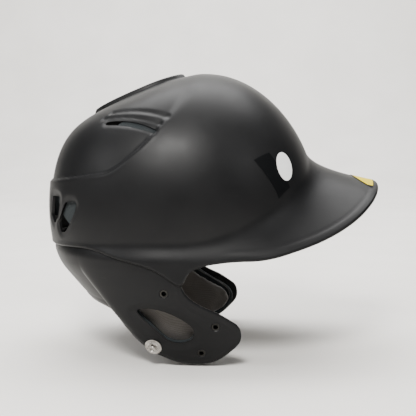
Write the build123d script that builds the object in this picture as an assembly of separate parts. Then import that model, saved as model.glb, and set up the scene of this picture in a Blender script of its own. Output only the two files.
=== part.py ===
from build123d import *
import bisect
import math
import os

# Batting helmet with a brim and two ear flaps, standing as it is worn.
# Frame: +X forward through the brim, +Y to the wearer's left, +Z up.
# The origin is the bottom centre of the helmet's bounding box.  Millimetres.

# ---------------------------------------------------------------- driving dimensions
CROWN_X = -7.0                # where the top of the dome is
CROWN_Z = 252.0
PLAN_X = -30.0                # widest station of the dome
EQUATOR_Z = 130.0             # height at which the dome is widest
SHELL_WALL = 3.8              # moulded shell thickness
FLAP_INSET = 2.4              # the flap skin lies this far inside the dome skin
PAD_GAP = 0.6                 # clearance between the shell and the foam
FOAM_THICK = 11.0             # firm impact foam in the dome
FLAP_FOAM_THICK = 7.0         # firm foam in the ear flaps
COMFORT_THICK = 6.0           # soft covered pad
LAYER_GAP = 0.4               # between foam and comfort pad
LABEL_THICK = 0.25
LABEL_GAP = 0.3

# plan outlines about (PLAN_X, 0): reach forward, reach back, half width,
# and the squareness (superellipse power) of the front and the back half
DOME_PLAN = (126.0, 122.5, 102.0, 2.15, 2.25)
EDGE_PLAN = (182.0, 122.0, 104.5, 2.6, 2.3)

BRIM_TIP_Z = 153.0            # top skin at the tip of the brim
BRIM_DROOP = 0.0057           # the brim falls by this times y squared, 1/mm
BRIM_SLOPE = 0.22             # fall of the brim towards its tip
SKIRT_LEAN = 0.06             # outward lean of the skirt under the flare

FLAP_TOP_Z = 104.0            # the flap skin ends here, hidden inside the dome skin
FLAP_HOLD_Z = 84.0            # above this the flap skin follows the dome skin
FLAP_TAPER = 18.0             # each flap draws in by this at its bottom
FLAP_TAPER_Z = 76.0           # and starts to at this height
FLAP_TOE_IN = 16.0            # draws the front of the flaps together
NAPE_Z = 98.0
NAPE_SLOPE = 0.43             # forward lean of the nape under NAPE_Z
NAPE_ROUND = 3.0
BEVEL_SIDE = 0.80             # inward slope of the rear bevel, beside the ear
BEVEL_BACK = 0.25             # and at the nape
CREASE_ROUND = 10.0           # how softly the bevel begins
LINING_ROUND = 22.0           # the padding turns the same corner more softly

RECESS_DEPTH = 2.2            # rear top panel, below the dome skin
FIN_PROUD = 1.5               # centre ridge, above the dome skin
FIN_ROOT = 3.0

HOLE_R = 3.3                  # faceguard hole in the shell
NUT_BARREL_R = 3.2
NUT_BORE_R = 2.1              # number 8 screw
NUT_FLANGE_R = 8.0
NUT_FLANGE_THICK = 1.2
SNAP_CAP_R = 7.4
SNAP_CAP_THICK = 1.0
SNAP_HEIGHT = 4.2
SNAP_RIVET_R = 5.6
SNAP_HOLE_R = 2.4
SNAP_STUD_R = 3.0             # head that the strap's socket grips
EAR_DISH_DEPTH = 1.8

SIDE_REACH = 160.0            # cutting prisms run past the helmet's sides by this

# depths below the skin of seats and ends along the fasteners' axes
NUT_SEAT = 0.4 - SHELL_WALL
NUT_TOP = -0.6
SNAP_SEAT = -0.6
SNAP_BACK = 0.6 - SHELL_WALL

# stations seen from the side, (x, z)
FACEGUARD_HOLES = [(-40.0, 65.0), (3.0, 36.0), (-9.0, 11.5)]
SNAP_AT = (-50.0, 17.0)
EAR_HOLE = [
    (-63, 50), (-51, 51.5), (-38, 48.5), (-25, 42), (-16, 34), (-17, 25), (-27, 21), (-38, 24), (-50, 35),
    (-59, 43),
]
EAR_DISH = [
    (-69, 50), (-55, 54), (-38, 51), (-22, 44), (-11, 34), (-13, 21), (-27, 15.5), (-42, 18), (-55, 29),
    (-65, 41),
]
EAR_PAD = [
    (-84, 86), (-52, 82), (-35, 74), (-27, 65), (-17, 55), (-5, 47), (8, 40), (17, 33), (20, 26), (16, 17),
    (7, 9), (-4, 5), (-18, 4), (-34, 9), (-52, 20), (-66, 32), (-84, 50), (-94, 70),
]
EAR_COMFORT = [
    (-80, 82), (-52, 78), (-37, 70), (-29, 62), (-18, 52), (-5, 44), (7, 37), (14, 31), (16, 25), (13, 18),
    (5, 12), (-5, 8), (-18, 7.5), (-33, 12.5), (-51, 24), (-66, 37), (-80, 54), (-88, 68),
]

# stations on the dome, travels (forward, left) from the crown; the right side is negative
REAR_VENTS = [
    [(-175, -97), (-159, -112), (-176, -114), (-191, -114), (-203, -102), (-196, -93)],
    [(-189, -62), (-177, -85), (-196, -86), (-209, -76), (-207, -62)],
]
VENT_CORNER_R = 2.0
LOUVRES = [((-93.0, -70.0), (-50.0, -98.0), 5.0), ((-96.0, -61.0), (-43.0, -93.0), 2.6),
           ((-88.0, -57.0), (-35.0, -87.0), 2.6)]
LOUVRE_SAG = 1.5
WINDOW_REACH = 12.0
PAD_MARGIN = 5.0              # a comfort pad stops this far inside its foam
DOME_PADS = [
    ("crown", (-42, 52), (-56, 56)),
    ("front", (62, 114), (-62, 62)),
    ("rear", (-222, -140), (-54, 54)),
    ("side_left", (-98, 56), (66, 182)),
    ("side_right", (-98, 56), (-182, -66)),
    ("rear_side_left", (-194, -108), (62, 118)),
    ("rear_side_right", (-194, -108), (-118, -62)),
]


# ---------------------------------------------------------------- dome and brim skin
def outline_distance(heading, plan):
    """Distance from the crown axis to a plan outline, in the direction heading."""
    front, back, side, front_power, back_power = plan
    near = 0.0
    far = 260.0
    for _ in range(40):
        middle = (near + far) / 2
        x = CROWN_X + middle * math.cos(heading) - PLAN_X
        y = abs(middle * math.sin(heading))
        reach, power = (front, front_power) if x > 0 else (back, back_power)
        if (abs(x) / reach) ** power + (y / side) ** power < 1:
            near = middle
        else:
            far = middle
    return near


def angle_about_plan_centre(heading, distance):
    x = CROWN_X + distance * math.cos(heading) - PLAN_X
    return math.atan2(distance * math.sin(heading), x)


def dome_profile(heading):
    """The dome's half section in one heading, as a function of the polar angle."""
    reach = outline_distance(heading, DOME_PLAN)
    forward = math.cos(angle_about_plan_centre(heading, reach))
    share = forward * forward
    fullness = 0.03 - (0.09 if forward > 0 else 0.32) * share
    shoulder = 0.0 if forward > 0 else 0.64 * share

    def at(polar):
        s2 = math.sin(polar) ** 2
        rise = math.cos(polar) * (1 + fullness * s2 + shoulder * s2 * s2)
        return reach * math.sin(polar), EQUATOR_Z + (CROWN_Z - EQUATOR_Z) * rise

    sideways = math.sqrt(1 - share)
    fold = math.radians(64 + 36 * (sideways ** 1.25 if forward > 0 else 1.0))
    return at, fold


def skirt_edge(heading):
    """End point and direction of the brim or skirt in one heading."""
    reach = outline_distance(heading, EDGE_PLAN)
    angle = angle_about_plan_centre(heading, reach)
    forward = math.cos(angle)
    y = reach * math.sin(heading) if forward > 0 else EDGE_PLAN[2]
    z = BRIM_TIP_Z - BRIM_DROOP * y * y
    outward = max(0.0, forward) ** 2
    along = (outward + SKIRT_LEAN, -(BRIM_SLOPE * outward + 1 - outward))
    length = math.hypot(*along)
    return (reach, z), (along[0] / length, along[1] / length), outward


def half_section(heading, dome_steps=36, skirt_steps=24, run_out=120.0):
    """Crown to edge as (distance, height) points: dome, flare, then a straight run."""
    at, fold = dome_profile(heading)
    points = [at(fold * i / dome_steps) for i in range(dome_steps + 1)]
    start = points[-1]
    ahead = at(fold + 0.001)
    step = math.dist(start, ahead)
    leave = ((ahead[0] - start[0]) / step, (ahead[1] - start[1]) / step)
    end, arrive, outward = skirt_edge(heading)
    span = math.dist(start, end)
    pull_start = span * (0.33 - 0.15 * outward)
    pull_end = span * (0.33 + 0.27 * outward)
    handles = (
        start,
        (start[0] + pull_start * leave[0], start[1] + pull_start * leave[1]),
        (end[0] - pull_end * arrive[0], end[1] - pull_end * arrive[1]),
        end,
    )
    for i in range(1, skirt_steps + 1):
        v = i / skirt_steps
        weights = ((1 - v) ** 3, 3 * v * (1 - v) ** 2, 3 * v * v * (1 - v), v ** 3)
        points.append(tuple(sum(w * h[k] for w, h in zip(weights, handles)) for k in (0, 1)))
    points.append((end[0] + run_out * arrive[0], end[1] + run_out * arrive[1]))
    return points


SECTIONS = {}


def measured_section(heading):
    key = round(heading, 8)
    if key not in SECTIONS:
        points = half_section(heading)
        travel = [0.0]
        for a, b in zip(points, points[1:]):
            travel.append(travel[-1] + math.dist(a, b))
        SECTIONS[key] = (points, travel)
    return SECTIONS[key]


def skin_point(heading, travel):
    """Point of the dome skin, a distance along the surface from the crown."""
    points, along = measured_section(heading)
    i = min(max(bisect.bisect_right(along, travel) - 1, 0), len(points) - 2)
    share = (travel - along[i]) / (along[i + 1] - along[i])
    r = points[i][0] + (points[i + 1][0] - points[i][0]) * share
    z = points[i][1] + (points[i + 1][1] - points[i][1]) * share
    return Vector(CROWN_X + r * math.cos(heading), r * math.sin(heading), z)


def skin_normal(heading, travel):
    if travel < 3.0:
        return Vector(0, 0, 1)
    down = skin_point(heading, travel + 2) - skin_point(heading, travel - 2)
    round_ = skin_point(heading + 0.02, travel) - skin_point(heading - 0.02, travel)
    return down.cross(round_).normalized()


def dome_layer(p, q, depth):
    """Point under the dome skin; p and q are travels forward and left from the crown."""
    heading = math.atan2(q, p)
    travel = math.hypot(p, q)
    return skin_point(heading, travel) - skin_normal(heading, travel) * depth


# ---------------------------------------------------------------- flap and nape skin
DOME_RADII = {}


def dome_radius(angle, z):
    """Radius of the dome skin about the widest station, at an angle and a height."""
    angle = abs(math.atan2(math.sin(angle), math.cos(angle)))
    key = (round(angle, 8), round(z, 6))
    if key in DOME_RADII:
        return DOME_RADII[key]
    low = angle
    high = min(angle + 0.4, math.pi)
    radius = 0.0
    for _ in range(26):
        heading = (low + high) / 2
        points, _ = measured_section(heading)
        i = next(k for k in range(len(points) - 1) if points[k + 1][1] <= z)
        share = (z - points[i][1]) / (points[i + 1][1] - points[i][1])
        distance = points[i][0] + (points[i + 1][0] - points[i][0]) * share
        seen = angle_about_plan_centre(heading, distance)
        radius = math.hypot(CROWN_X + distance * math.cos(heading) - PLAN_X, distance * math.sin(heading))
        if seen < angle:
            low = heading
        else:
            high = heading
    DOME_RADII[key] = radius
    return radius


def eased(value, width):
    """Zero below zero and the value above it, with a rounded corner."""
    return (value + math.hypot(value, width)) / 2


def flap_skin(angle, z, crease_round=CREASE_ROUND):
    """Point of the flap skin: the dome's wall, set in, carried down and drawn together."""
    c = math.cos(angle)
    s = abs(math.sin(angle))
    degrees = math.degrees(math.atan2(s, c))
    r = dome_radius(angle, max(z, FLAP_HOLD_Z)) - FLAP_INSET
    r -= FLAP_TAPER * (max(0.0, FLAP_TAPER_Z - z) / FLAP_TAPER_Z) ** 2 * s * s
    if c > 0:
        r -= FLAP_TOE_IN * c * c
    else:
        r -= NAPE_SLOPE * eased(NAPE_Z - z, NAPE_ROUND) * c * c
    crease_z = min(11 + 2.04 * (degrees - 105), 80.0)
    toward_back = min(max((degrees - 130) / 50, 0.0), 1.0)
    r -= eased(crease_z - z, crease_round) * (BEVEL_SIDE + (BEVEL_BACK - BEVEL_SIDE) * toward_back)
    return Vector(PLAN_X + r * c, r * math.sin(angle), z)


def flap_normal(angle, z, crease_round=CREASE_ROUND):
    round_ = flap_skin(angle + 0.02, z, crease_round) - flap_skin(angle - 0.02, z, crease_round)
    up = flap_skin(angle, z + 1.5, crease_round) - flap_skin(angle, z - 1.5, crease_round)
    return round_.cross(up).normalized()


def flap_layer(angle, z, depth, crease_round=CREASE_ROUND):
    return flap_skin(angle, z, crease_round) - flap_normal(angle, z, crease_round) * depth


def flap_station(x, z):
    """Point and outward normal of the right flap skin at a place seen from the side."""
    low = -math.pi
    high = -math.radians(40)
    for _ in range(40):
        middle = (low + high) / 2
        if flap_skin(middle, z).X < x:
            low = middle
        else:
            high = middle
    return flap_skin(low, z), flap_normal(low, z)


# ---------------------------------------------------------------- building solids
def lofted_face(rows):
    wires = [Wire([Edge.make_spline(row)]) for row in rows]
    return Shell.make_loft(wires).faces()[0]


def solid_between(outer_rows, inner_rows):
    """Closed solid between two grids of points that lie one over the other."""
    outer = lofted_face(outer_rows)
    inner = lofted_face(inner_rows)
    walls = []
    for edge in outer.edges():
        middle = edge.position_at(0.5)
        partner = min(inner.edges(), key=lambda e: (e.position_at(0.5) - middle).length)
        walls.append(Face.make_surface_from_curves(edge, partner))
    return Solid(Shell([outer, inner] + walls))


def dome_patch(p_range, q_range, depths, steps, roundness=0.3):
    """Layer of the dome between two depths over a round-cornered patch."""
    p_mid, p_half = sum(p_range) / 2, (p_range[1] - p_range[0]) / 2
    q_mid, q_half = sum(q_range) / 2, (q_range[1] - q_range[0]) / 2

    def rows(depth):
        grid = []
        for i in range(steps[1]):
            v = -1 + 2 * i / (steps[1] - 1)
            row = []
            for j in range(steps[0]):
                u = -1 + 2 * j / (steps[0] - 1)
                p = p_mid + p_half * u * math.sqrt(1 - roundness * v * v)
                q = q_mid + q_half * v * math.sqrt(1 - roundness * u * u)
                row.append(dome_layer(p, q, depth))
            grid.append(row)
        return grid

    return solid_between(rows(depths[0]), rows(depths[1]))


def flap_patch(degrees, heights, depths, steps, crease_round=CREASE_ROUND):
    """Layer of the flap skin between two depths, over a range of angle and height."""
    def rows(depth):
        grid = []
        for i in range(steps[1]):
            z = heights[0] + (heights[1] - heights[0]) * i / (steps[1] - 1)
            row = []
            for j in range(steps[0]):
                angle = math.radians(degrees[0] + (degrees[1] - degrees[0]) * j / (steps[0] - 1))
                row.append(flap_layer(angle, z, depth, crease_round))
            grid.append(row)
        return grid

    return solid_between(rows(depths[0]), rows(depths[1]))


def side_prism(wire, from_y=-SIDE_REACH, to_y=SIDE_REACH):
    """Solid with an outline seen from the side, between two stations across."""
    face = Face(wire)
    return Solid.extrude(face, Vector(0, to_y - from_y, 0)).moved(Location((0, from_y, 0)))


def side_points(points):
    return [Vector(x, 0, z) for x, z in points]


def side_loop(points):
    """Smooth closed outline seen from the side."""
    return Wire([Edge.make_spline(side_points(points), periodic=True)])


def peg(centre, direction, radius, start, end):
    """Cylinder on an axis, between two distances from a centre."""
    plane = Plane(origin=centre + direction * start, z_dir=direction)
    return Solid.make_cylinder(radius, end - start, plane)


def mirrored(shape):
    return shape.mirror(Plane.XZ)


# ---------------------------------------------------------------- outer shell
def dome_keep():
    """What lies above the ledge, the skirt's tooth and the side edge of the brim."""
    ledge = [(-165, 98), (-140, 99), (-105, 100), (-76, 93), (-60, 89), (-47, 84), (-37, 77), (-27, 70)]
    side_edge = [(-24, 72), (-18, 80), (-8, 85.5), (13, 88), (40, 91.5), (53, 95), (62, 98.5)]
    lower = Wire([
        Edge.make_spline(side_points(ledge)),
        Edge.make_line(Vector(-27, 0, 70), Vector(-24, 0, 72)),
        Edge.make_spline(side_points(side_edge)),
        *Wire.make_polygon(
            side_points([(62, 98.5), (74, 60), (190, 60), (190, 280), (-165, 280), (-165, 98)]), close=False
        ).edges(),
    ])
    return side_prism(lower)


def brim_keep():
    """Inside of the brim's edge, seen from above, and everything behind it."""
    front, _, side, power, _ = EDGE_PLAN
    steps = 14
    rim = []
    for i in range(steps + 1):
        angle = math.radians(-63 + 126 * i / steps)
        r = ((math.cos(angle) / front) ** power + (abs(math.sin(angle)) / side) ** power) ** (-1 / power)
        rim.append(Vector(PLAN_X + r * math.cos(angle), r * math.sin(angle), 40))
    last = rim[-1]
    corners = [last, Vector(20, 125, 40), Vector(-170, 125, 40), Vector(-170, -125, 40), Vector(20, -125, 40), rim[0]]
    outline = Wire([Edge.make_spline(rim), *Wire.make_polygon(corners, close=False).edges()])
    return Solid.extrude(Face(outline), Vector(0, 0, 230))


def flap_keep():
    """Outline of the nape, the ear flaps and the face opening, seen from the side."""
    lower = [
        (-165, 36), (-113, 36), (-99, 34), (-87, 32), (-76, 26), (-61, 17), (-53, 12), (-42, 7), (-29, 2),
        (-15, 0), (-1, 2), (10, 8), (19, 16), (24, 26), (19, 37), (7, 44), (-6, 51), (-18, 59), (-24, 65),
        (-25.5, 71),
    ]
    edge = Edge.make_spline(side_points(lower))
    rest = side_points([(-25.5, 71), (-22, 79), (-15, 86), (-15, 112), (-165, 112), (-165, 36)])
    return side_prism(Wire([edge, *Wire.make_polygon(rest, close=False).edges()]))


def rear_panel_cut():
    """Thin layer taken off the dome skin over the recessed rear top panel."""
    layer = dome_patch((-225, 5), (-150, 150), (-3.0, RECESS_DEPTH), (21, 21), roundness=0.2)
    border = [(-170, 150), (-140, 152), (-112, 158), (-82, 168), (-53, 194), (-37, 214), (-21, 243)]
    rest = side_points([(-21, 243), (-19, 280), (-170, 280), (-170, 150)])
    prism = side_prism(Wire([Edge.make_spline(side_points(border)), *Wire.make_polygon(rest, close=False).edges()]))
    return layer & prism


def centre_fin():
    """Raised ridge on the centre line of the rear panel, widest at its middle."""
    layer = dome_patch((-115, 0), (-26, 26), (-FIN_PROUD, FIN_ROOT), (17, 9))
    outline = Wire([Edge.make_spline([
        Vector(-96, 0, 200), Vector(-84, 13, 200), Vector(-62, 18, 200), Vector(-40, 12, 200),
        Vector(-22, 0, 200), Vector(-40, -12, 200), Vector(-62, -18, 200), Vector(-84, -13, 200),
    ], periodic=True)])
    return layer & Solid.extrude(Face(outline), Vector(0, 0, 80))


def facing_plane(centre, outward, right, back_off):
    """Plane across an outward direction, set back inside the wall."""
    across = (right - outward * right.dot(outward)).normalized()
    return Plane(origin=centre - outward * back_off, x_dir=across, z_dir=outward)


def dome_station(p, q):
    """Point and outward normal of the dome skin, p forward and q left of the crown."""
    return dome_layer(p, q, 0.0), skin_normal(math.atan2(q, p), math.hypot(p, q))


def rear_vents():
    """Two slanted windows beside the centre line, right side."""
    cuts = []
    for corners in REAR_VENTS:
        centre, outward = dome_station(
            sum(p for p, _ in corners) / len(corners), sum(q for _, q in corners) / len(corners)
        )
        plane = facing_plane(centre, outward, Vector(0, 0, 1).cross(outward), WINDOW_REACH)
        flat = []
        for p, q in corners:
            local = plane.to_local_coords(dome_layer(p, q, 0.0))
            flat.append(plane.from_local_coords(Vector(local.X, local.Y, 0)))
        outline = Wire.make_polygon(flat)
        outline = outline.fillet_2d(VENT_CORNER_R, outline.vertices())
        cuts.append(Solid.extrude(Face(outline), outward * (2 * WINDOW_REACH)))
    return cuts


def louvre_slots():
    """Three bent slots behind the crown, right side, narrower towards the top."""
    cuts = []
    for rear, front, width in LOUVRES:
        start = dome_layer(*rear, 0.0)
        end = dome_layer(*front, 0.0)
        centre, outward = dome_station((rear[0] + front[0]) / 2, (rear[1] + front[1]) / 2)
        plane = facing_plane(centre, outward, end - start, WINDOW_REACH)
        half = (end - start).length / 2
        arc = ThreePointArc((-half, -LOUVRE_SAG), (0, 0), (half, -LOUVRE_SAG))
        cuts.append(Solid.extrude((plane * SlotArc(arc, width)).face(), outward * (2 * WINDOW_REACH)))
    return cuts


def outer_shell():
    dome = dome_patch((-256, 204), (-236, 236), (0.0, SHELL_WALL), (23, 23))
    dome = dome & dome_keep() & brim_keep()
    dome = dome - rear_panel_cut() + centre_fin()
    for cut in rear_vents() + louvre_slots():
        dome = dome - cut - mirrored(cut)
    flaps = flap_patch((58, 302), (-6, FLAP_TOP_Z), (0.0, SHELL_WALL), (25, 9)) & flap_keep()
    ear = side_prism(side_loop(EAR_HOLE), -SIDE_REACH, -50)
    dish = flap_patch((-150, -55), (0, 70), (-4.0, EAR_DISH_DEPTH), (11, 5))
    dish = dish & side_prism(side_loop(EAR_DISH), -SIDE_REACH, -50)
    cuts = [ear, dish]
    for x, z in FACEGUARD_HOLES:
        point, outward = flap_station(x, z)
        cuts.append(peg(point, outward, HOLE_R, -12, 10))
        cuts.append(peg(point, outward, NUT_FLANGE_R + 0.3, -12, NUT_SEAT))
    point, outward = flap_station(*SNAP_AT)
    cuts.append(peg(point, outward, SNAP_HOLE_R, -12, 10))
    cuts.append(peg(point, outward, SNAP_CAP_R + 0.4, SNAP_SEAT, 10))
    cuts.append(peg(point, outward, SNAP_RIVET_R + 0.3, -12, SNAP_BACK))
    for cut in cuts:
        flaps = flaps - cut - mirrored(cut)
    return dome + flaps


# ---------------------------------------------------------------- padding
def foam_depths(thickness, under=0.0):
    start = SHELL_WALL + PAD_GAP + under
    return start, start + thickness


def dome_pads():
    """Firm foam blocks against the dome, each with a softer covered pad on it."""
    pads = {}
    for name, p_range, q_range in DOME_PADS:
        pads[name + "_foam"] = dome_patch(p_range, q_range, foam_depths(FOAM_THICK), (9, 9))
        inner_p = (p_range[0] + PAD_MARGIN, p_range[1] - PAD_MARGIN)
        inner_q = (q_range[0] + PAD_MARGIN, q_range[1] - PAD_MARGIN)
        depths = foam_depths(COMFORT_THICK, FOAM_THICK + LAYER_GAP)
        pads[name + "_comfort_pad"] = dome_patch(inner_p, inner_q, depths, (9, 9), roundness=0.45)
    return pads


def ear_foam_right():
    """Firm foam in the ear flap, open behind the ear hole and relieved at the hardware."""
    block = flap_patch((-132, -58), (2, 92), foam_depths(FLAP_FOAM_THICK), (15, 9), LINING_ROUND)
    block = block & side_prism(side_loop(EAR_PAD), -SIDE_REACH, -50)
    block = block - side_prism(side_loop(EAR_HOLE), -SIDE_REACH, -50)
    for x, z in FACEGUARD_HOLES + [SNAP_AT]:
        point, outward = flap_station(x, z)
        block = block - peg(point, outward, NUT_FLANGE_R + 1, -SHELL_WALL - 3.0, 0)
    return block


def ear_comfort_pad_right():
    """Soft covered pad over the ear foam; it closes the hole on the head's side."""
    depths = foam_depths(COMFORT_THICK, FLAP_FOAM_THICK + LAYER_GAP)
    block = flap_patch((-132, -58), (2, 92), depths, (15, 9), LINING_ROUND)
    return block & side_prism(side_loop(EAR_COMFORT), -SIDE_REACH, -50)


def nape_pad():
    return flap_patch((153, 207), (48, 94), foam_depths(FLAP_FOAM_THICK), (13, 7))


# ---------------------------------------------------------------- hardware and labels
def faceguard_nuts_right():
    """Three flanged threaded inserts, set from the inside."""
    nuts = []
    for x, z in FACEGUARD_HOLES:
        point, outward = flap_station(x, z)
        flange = peg(point, outward, NUT_FLANGE_R, NUT_SEAT - NUT_FLANGE_THICK, NUT_SEAT)
        barrel = peg(point, outward, NUT_BARREL_R, NUT_SEAT - NUT_FLANGE_THICK, NUT_TOP)
        bore = peg(point, outward, NUT_BORE_R, -12, 10)
        nuts.append(flange + barrel - bore)
    return nuts


def snap_stud_right():
    """Outer half of the chin strap snap: a rolled cap with a grooved stud."""
    point, outward = flap_station(*SNAP_AT)
    cap = peg(point, outward, SNAP_CAP_R, SNAP_SEAT, SNAP_SEAT + SNAP_CAP_THICK)
    ring = peg(point, outward, SNAP_STUD_R + 1.6, SNAP_SEAT, SNAP_SEAT + SNAP_CAP_THICK + 0.6)
    neck = peg(point, outward, SNAP_STUD_R - 0.4, SNAP_SEAT, SNAP_SEAT + SNAP_HEIGHT)
    head = peg(point, outward, SNAP_STUD_R, SNAP_SEAT + SNAP_HEIGHT - 1.4, SNAP_SEAT + SNAP_HEIGHT)
    return cap + ring + neck + head


def snap_rivet_right():
    """Inner half of the snap: a flat head and a shank through the shell."""
    point, outward = flap_station(*SNAP_AT)
    head = peg(point, outward, SNAP_RIVET_R, SNAP_BACK - 0.8, SNAP_BACK)
    shank = peg(point, outward, SNAP_HOLE_R - 0.1, SNAP_BACK - 0.8, SNAP_SEAT)
    return head + shank


def label(p_range, q_range):
    return dome_patch(p_range, q_range, (-LABEL_GAP - LABEL_THICK, -LABEL_GAP), (7, 7), roundness=0.1)


def model():
    """Every sub-part of the helmet by name."""
    parts = {"outer_shell": outer_shell()}
    parts.update(dome_pads())
    parts["nape_pad"] = nape_pad()
    right_side = {
        "ear_foam": ear_foam_right(),
        "ear_comfort_pad": ear_comfort_pad_right(),
        "snap_stud": snap_stud_right(),
        "snap_rivet": snap_rivet_right(),
    }
    for name, solid in right_side.items():
        parts[name + "_right"] = solid
        parts[name + "_left"] = mirrored(solid)
    nuts = faceguard_nuts_right()
    parts["faceguard_nuts_right"] = Compound(children=nuts)
    parts["faceguard_nuts_left"] = Compound(children=[mirrored(nut) for nut in nuts])
    parts["front_label"] = label((60, 112), (-124, -98))
    parts["brim_label"] = label((166, 193), (-26, 26))
    return parts


if __name__ == "__main__":
    os.makedirs("parts", exist_ok=True)
    for node, solid in model().items():
        export_step(solid, "parts/" + node + ".step")
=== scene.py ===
import math

import bmesh
import bpy
import numpy as np
from mathutils import Matrix, Vector


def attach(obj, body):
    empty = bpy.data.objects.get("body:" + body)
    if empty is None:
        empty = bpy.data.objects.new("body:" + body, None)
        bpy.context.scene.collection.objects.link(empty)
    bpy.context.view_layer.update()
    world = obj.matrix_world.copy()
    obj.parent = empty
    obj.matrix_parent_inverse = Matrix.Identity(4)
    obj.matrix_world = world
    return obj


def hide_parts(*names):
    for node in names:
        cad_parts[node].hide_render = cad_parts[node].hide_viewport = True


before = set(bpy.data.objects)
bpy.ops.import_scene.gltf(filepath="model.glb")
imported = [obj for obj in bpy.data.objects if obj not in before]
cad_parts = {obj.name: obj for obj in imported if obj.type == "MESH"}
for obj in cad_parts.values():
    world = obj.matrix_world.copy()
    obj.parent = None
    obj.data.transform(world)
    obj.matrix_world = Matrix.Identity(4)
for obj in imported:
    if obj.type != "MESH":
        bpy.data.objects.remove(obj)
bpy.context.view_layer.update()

# Batting helmet.  Lengths here are in millimetres unless a name says otherwise;
# MM turns them into Blender's metres when a mesh is made.
# +X forward through the brim, +Y to the wearer's left, +Z up.
MM = 0.001

# ---- the skin, on the CAD's dimensions
CROWN_X = -7.0                # where the top of the dome is
CROWN_Z = 252.0
PLAN_X = -30.0                # widest station of the dome
EQUATOR_Z = 130.0             # height at which the dome is widest
WALL = 3.8                    # thickness of the moulded shell
FLAP_INSET = 2.4              # the flap skin lies this far inside the dome skin
# plan outlines: reach forward, reach back, half width, squareness of front and of back
DOME_PLAN = (126.0, 122.5, 102.0, 2.15, 2.25)
EDGE_PLAN = (182.0, 122.0, 104.5, 2.6, 2.3)
BRIM_TIP_Z = 153.0
BRIM_DROOP = 0.0057           # the brim falls by this times y squared
BRIM_SLOPE = 0.22
SKIRT_LEAN = 0.06             # outward lean of the skirt under the flare
FLAP_TOP_Z = 104.0            # the flap skin ends here, hidden inside the dome
FLAP_HOLD_Z = 84.0            # above this it follows the dome skin
FLAP_TAPER = 18.0             # each flap draws in by this at its bottom
FLAP_TAPER_Z = 76.0           # and starts to at this height
FLAP_TOE_IN = 16.0            # draws the front of the flaps together
NAPE_Z = 98.0
NAPE_SLOPE = 0.43             # forward lean of the nape under NAPE_Z
NAPE_ROUND = 3.0
BEVEL_SIDE = 0.80             # inward slope of the rear bevel, beside the ear
BEVEL_BACK = 0.25             # and at the nape
CREASE_ROUND = 6.0            # how softly the bevel begins, crisper than in the CAD

RECESS_DEPTH = 2.2            # the rear panel lies this far under the dome skin
FIN_PROUD = 1.5               # the crown fin stands this far over it
EAR_DISH_DEPTH = 1.8
EAR_DISH_EASE = 3.2
RIM_BEAD = 0.26               # how far the bead along the edges stands out
RIM_BEAD_BACK = 3.2           # how far back from the edge it lies
RIM_GROOVE_BACK = 6.1         # and the groove beside it
SIDE_EDGE_FRONT = 61.5        # ahead of this the plan outline ends the brim
FACEGUARD_HOLES = [(-40.0, 65.0), (3.0, 36.0), (-9.0, 11.5)]     # seen from the side, (x, z)
SNAP_AT = (-50.0, 17.0)
HOLE_R = 3.3
NUT_FLANGE_R = 8.0
SNAP_CAP_R = 7.4
SNAP_RIVET_R = 5.6
SNAP_HOLE_R = 2.4
SNAP_SUNK = 0.6               # the cap's seat lies this far under the flap's skin
SNAP_BACK = 0.6 - WALL
NUT_SEAT = 0.4 - WALL
BORE_EASE = 0.3               # play round the flanges and rivets in their bores

# outlines seen from the side, (x, z)
EAR_HOLE = [(-63, 50), (-51, 51.5), (-38, 48.5), (-25, 42), (-16, 34), (-17, 25), (-27, 21),
            (-38, 24), (-50, 35), (-59, 43)]
EAR_DISH = [(-69, 50), (-55, 54), (-38, 51), (-22, 44), (-11, 34), (-13, 21), (-27, 15.5),
            (-42, 18), (-55, 29), (-65, 41)]
EAR_COMFORT = [(-80, 82), (-52, 78), (-37, 70), (-29, 62), (-18, 52), (-5, 44), (7, 37), (14, 31),
               (16, 25), (13, 18), (5, 12), (-5, 8), (-18, 7.5), (-33, 12.5), (-51, 24), (-66, 37),
               (-80, 54), (-88, 68)]
SKIRT_LOW = [(-165, 98), (-140, 99), (-105, 100), (-76, 93), (-60, 89), (-47, 84), (-38, 78.8),
             (-32, 74.6), (-27.8, 72.2), (-25, 72.6), (-23.8, 76.5), (-21, 81.5), (-15, 85.6),
             (-8, 88.2), (0, 90), (13, 91.8), (27, 92.8), (40, 93.2), (53, 95.2), (62, 98.5)]
FLAP_BOTTOM = [(19.5, 16.5), (10, 8), (-1, 2), (-15, 0), (-29, 2), (-42, 7), (-53, 12), (-61, 17),
               (-76, 26.5), (-87, 34), (-98, 40), (-112, 43), (-126, 44), (-136, 44)]
FLAP_FRONT = [(21, 37.5), (7, 46.5), (-5, 52), (-16, 58.5), (-22.8, 66), (-25, 72.5), (-24, 80), (-20, 91)]
FLAP_TIP = [(19.5, 16.5), (23.3, 21.5), (24.6, 27.5), (23.6, 33.5), (21, 37.5)]

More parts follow.
